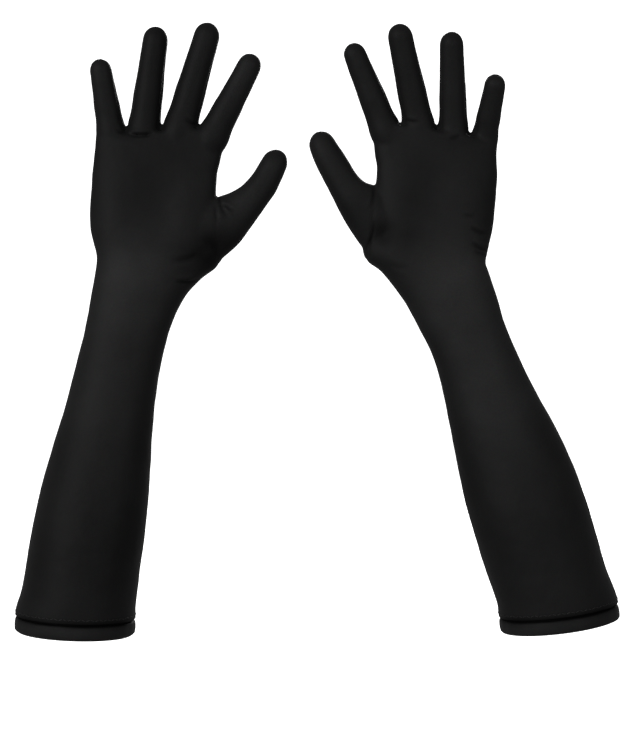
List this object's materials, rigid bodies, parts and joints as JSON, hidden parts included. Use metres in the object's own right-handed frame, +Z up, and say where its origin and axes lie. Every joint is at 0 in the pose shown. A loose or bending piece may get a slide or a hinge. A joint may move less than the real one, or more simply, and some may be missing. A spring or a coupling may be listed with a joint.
{
  "type": "opera gloves",
  "caption": "Pair of black satin opera gloves reaching below the elbow, shaped as worn, each with separate fingers, a set-in thumb and a folded hem band.",
  "frame": {"origin": "centre of the right-hand glove's arm opening, in the plane of its hem edge", "axes": "+Z up from the hems to the fingertips, -Y the way the palms face, +X from the right-hand glove to the left-hand one"},
  "size_m": [0.4219, 0.0856, 0.43],
  "materials": {
    "satin": "black stretch satin knit",
    "elastic": "woven elastic",
    "thread": "black sewing thread"
  },
  "bodies": {
    "right_sleeve": {"right_sleeve_front": "satin", "right_sleeve_back": "satin", "right_hem_band": "satin", "right_hem_elastic": "elastic", "right_hem_stitching": "thread"},
    "right_hand": {"right_palm": "satin", "right_hand_back": "satin"},
    "right_thumb": {"right_thumb": "satin"},
    "right_index": {"right_index_front": "satin", "right_index_back": "satin", "right_index_inner_fourchette": "satin"},
    "right_middle": {"right_middle_front": "satin", "right_middle_back": "satin", "right_middle_outer_fourchette": "satin", "right_middle_inner_fourchette": "satin"},
    "right_ring": {"right_ring_front": "satin", "right_ring_back": "satin", "right_ring_outer_fourchette": "satin", "right_ring_inner_fourchette": "satin"},
    "right_little": {"right_little_front": "satin", "right_little_back": "satin", "right_little_outer_fourchette": "satin"},
    "left_sleeve": {"left_sleeve_front": "satin", "left_sleeve_back": "satin", "left_hem_band": "satin", "left_hem_elastic": "elastic", "left_hem_stitching": "thread"},
    "left_hand": {"left_palm": "satin", "left_hand_back": "satin"},
    "left_thumb": {"left_thumb": "satin"},
    "left_index": {"left_index_front": "satin", "left_index_back": "satin", "left_index_inner_fourchette": "satin"},
    "left_middle": {"left_middle_front": "satin", "left_middle_back": "satin", "left_middle_outer_fourchette": "satin", "left_middle_inner_fourchette": "satin"},
    "left_ring": {"left_ring_front": "satin", "left_ring_back": "satin", "left_ring_outer_fourchette": "satin", "left_ring_inner_fourchette": "satin"},
    "left_little": {"left_little_front": "satin", "left_little_back": "satin", "left_little_outer_fourchette": "satin"}
  },
  "joints": [
    {"name": "gloves_apart", "type": "slide", "parent": "right_sleeve", "child": "left_sleeve", "axis": [1, 0, 0], "range_m": [0, 0.3]},
    {"name": "right_wrist_bend", "type": "hinge", "parent": "right_sleeve", "child": "right_hand", "pos_m": [0.0506, 0, 0.25554], "axis": [0.9813, 0, -0.1925], "range_deg": [-60, 65]},
    {"name": "right_thumb_fold", "type": "hinge", "parent": "right_hand", "child": "right_thumb", "pos_m": [0.10039, -0.0143, 0.26012], "axis": [0.0221, 0, -0.9998], "range_deg": [0, 45]},
    {"name": "right_index_curl", "type": "hinge", "parent": "right_hand", "child": "right_index", "pos_m": [0.09637, -0.01185, 0.34765], "axis": [0.9026, 0.0673, -0.4252], "range_deg": [0, 80]},
    {"name": "right_middle_curl", "type": "hinge", "parent": "right_hand", "child": "right_middle", "pos_m": [0.07321, -0.01198, 0.3529], "axis": [0.9622, 0.0143, -0.2719], "range_deg": [0, 86]},
    {"name": "right_ring_curl", "type": "hinge", "parent": "right_hand", "child": "right_ring", "pos_m": [0.04834, -0.01197, 0.35212], "axis": [0.9925, 0.0085, -0.1216], "range_deg": [0, 85]},
    {"name": "right_little_curl", "type": "hinge", "parent": "right_hand", "child": "right_little", "pos_m": [0.02625, -0.01182, 0.35038], "axis": [0.9877, -0.0272, 0.1541], "range_deg": [0, 79]},
    {"name": "left_wrist_bend", "type": "hinge", "parent": "left_sleeve", "child": "left_hand", "pos_m": [0.25416, 0, 0.25556], "axis": [0.978, 0, 0.2088], "range_deg": [-60, 65]},
    {"name": "left_thumb_fold", "type": "hinge", "parent": "left_hand", "child": "left_thumb", "pos_m": [0.20512, -0.0143, 0.26532], "axis": [0.1265, 0, 0.992], "range_deg": [0, 45]},
    {"name": "left_index_curl", "type": "hinge", "parent": "left_hand", "child": "left_index", "pos_m": [0.21846, -0.01188, 0.35215], "axis": [0.9323, -0.0503, 0.3581], "range_deg": [0, 81]},
    {"name": "left_middle_curl", "type": "hinge", "parent": "left_hand", "child": "left_middle", "pos_m": [0.24191, -0.01164, 0.35247], "axis": [0.9774, -0.0511, 0.205], "range_deg": [0, 75]},
    {"name": "left_ring_curl", "type": "hinge", "parent": "left_hand", "child": "left_ring", "pos_m": [0.26658, -0.01154, 0.3489], "axis": [0.9993, -0.0106, 0.0369], "range_deg": [0, 73]},
    {"name": "left_little_curl", "type": "hinge", "parent": "left_hand", "child": "left_little", "pos_m": [0.28851, -0.01029, 0.34323], "axis": [0.9863, 0.085, -0.1415], "range_deg": [0, 58]}
  ]
}
